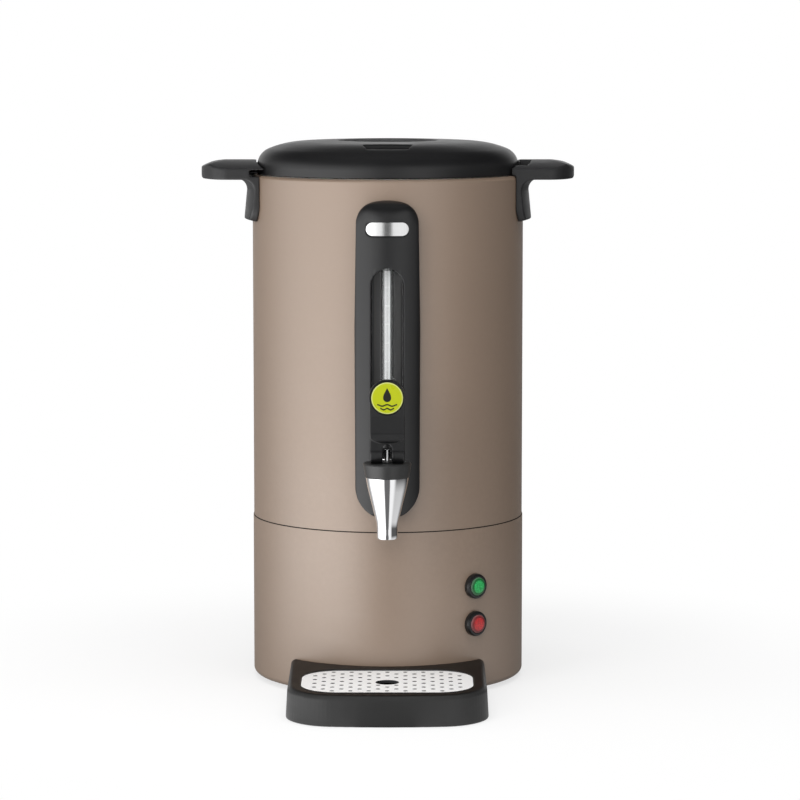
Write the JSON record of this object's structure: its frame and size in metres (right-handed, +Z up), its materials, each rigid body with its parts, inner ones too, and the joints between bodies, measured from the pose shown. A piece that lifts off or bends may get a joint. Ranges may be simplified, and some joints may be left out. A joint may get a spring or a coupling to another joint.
{
  "type": "hot drinks urn",
  "caption": "Upright cylindrical hot drinks urn with a lever tap, front level tube, side handles, turn-lock lid, percolator insert, indicator lamps and perforated drip tray.",
  "frame": {"origin": "on the axis of the tank, in the plane of the table that the feet stand on", "axes": "+Z up, -Y towards the tap and the drip tray, +X to the right of someone facing the tap"},
  "size_m": [0.307, 0.3366, 0.4453],
  "materials": {
    "body_lacquer": "metallic satin lacquer",
    "black_plastic": "fine satin moulding",
    "black_gloss": "polished moulding",
    "polished_steel": "polished",
    "steel": "brushed",
    "zinc_steel": "bright zinc",
    "aluminium": "mill finish",
    "brass": "drawn",
    "clear_tube": "clear",
    "green_glass": "translucent green",
    "red_glass": "translucent red",
    "silicone": "soft silicone",
    "dark_rubber": "matte rubber",
    "lime_print": "printed disc",
    "white_print": "printed strip",
    "beige_resin": "thermoset moulding",
    "red_plastic": "moulded rocker",
    "wire_sleeve": "silicone sleeve"
  },
  "bodies": {
    "urn": {"tank_shell": "body_lacquer", "base_shell": "body_lacquer", "seam_gasket": "dark_rubber", "handle_left": "black_plastic", "handle_right": "black_plastic", "handle_screws": "zinc_steel", "front_column": "black_gloss", "column_screw": "zinc_steel", "badge_plate": "polished_steel", "gauge_tube": "clear_tube", "gauge_scale": "white_print", "gauge_gland": "black_plastic", "gauge_seals": "silicone", "tap_body": "polished_steel", "tap_bonnet": "black_plastic", "tap_washers": "silicone", "tap_nut": "steel", "tap_spring": "steel", "lamp_bezels": "black_gloss", "green_lens": "green_glass", "red_lens": "red_glass", "lamp_nuts": "zinc_steel", "tank_floor": "steel", "heat_spreader": "aluminium", "element_ring": "steel", "thermostat": "black_plastic", "thermal_cutout": "beige_resin", "clamp_studs": "zinc_steel", "stud_nuts": "zinc_steel", "base_plate": "zinc_steel", "rubber_feet": "dark_rubber", "foot_screws": "zinc_steel", "foot_nuts": "zinc_steel", "terminal_block": "beige_resin", "inner_wires": "wire_sleeve", "inlet_socket": "black_plastic", "inlet_pins": "brass", "rocker_frame": "black_plastic", "pump_tube": "aluminium", "basket": "aluminium", "basket_cover": "aluminium"},
    "seal": {"lid_seal": "silicone"},
    "lid": {"lid_shell": "black_plastic", "lid_grip": "black_plastic", "grip_screws": "zinc_steel"},
    "valve": {"tap_stem": "polished_steel", "seat_cup": "silicone", "lever_pin": "polished_steel"},
    "lever": {"tap_lever": "black_plastic", "lever_disc": "lime_print"},
    "tray": {"drip_tray": "black_gloss", "tray_pads": "dark_rubber"},
    "plate": {"drip_plate": "steel"},
    "switch": {"rocker": "red_plastic"}
  },
  "joints": [
    {"name": "lid_lift", "type": "slide", "parent": "urn", "child": "seal", "axis": [0, 0, 1], "range_m": [0, 0.25]},
    {"name": "lid_turn", "type": "hinge", "parent": "seal", "child": "lid", "pos_m": [0, 0, 0.42], "axis": [0, 0, 1], "range_deg": [0, 19]},
    {"name": "valve_lift", "type": "slide", "parent": "urn", "child": "valve", "axis": [0, 0, 1], "range_m": [0, 0.0036], "deforming": ["tap_spring"]},
    {"name": "lever_tilt", "type": "hinge", "parent": "valve", "child": "lever", "pos_m": [0, -0.158, 0.2058], "axis": [1, 0, 0], "range_deg": [0, 40], "stiffness_Nm_per_rad": 0.08, "springref_deg": -22.92},
    {"name": "tray_pull", "type": "slide", "parent": "urn", "child": "tray", "axis": [0, -1, 0], "range_m": [0, 0.12]},
    {"name": "plate_lift", "type": "slide", "parent": "tray", "child": "plate", "axis": [0, 0, 1], "range_m": [0, 0.06]},
    {"name": "switch_tilt", "type": "hinge", "parent": "urn", "child": "switch", "pos_m": [-0.04393, 0.09866, 0.042], "axis": [-0.9135, -0.4067, 0], "range_deg": [-16, 0]}
  ],
  "couplings": [
    {"joint": "valve_lift", "follows": "lever_tilt", "m_per_rad": 0.005}
  ]
}
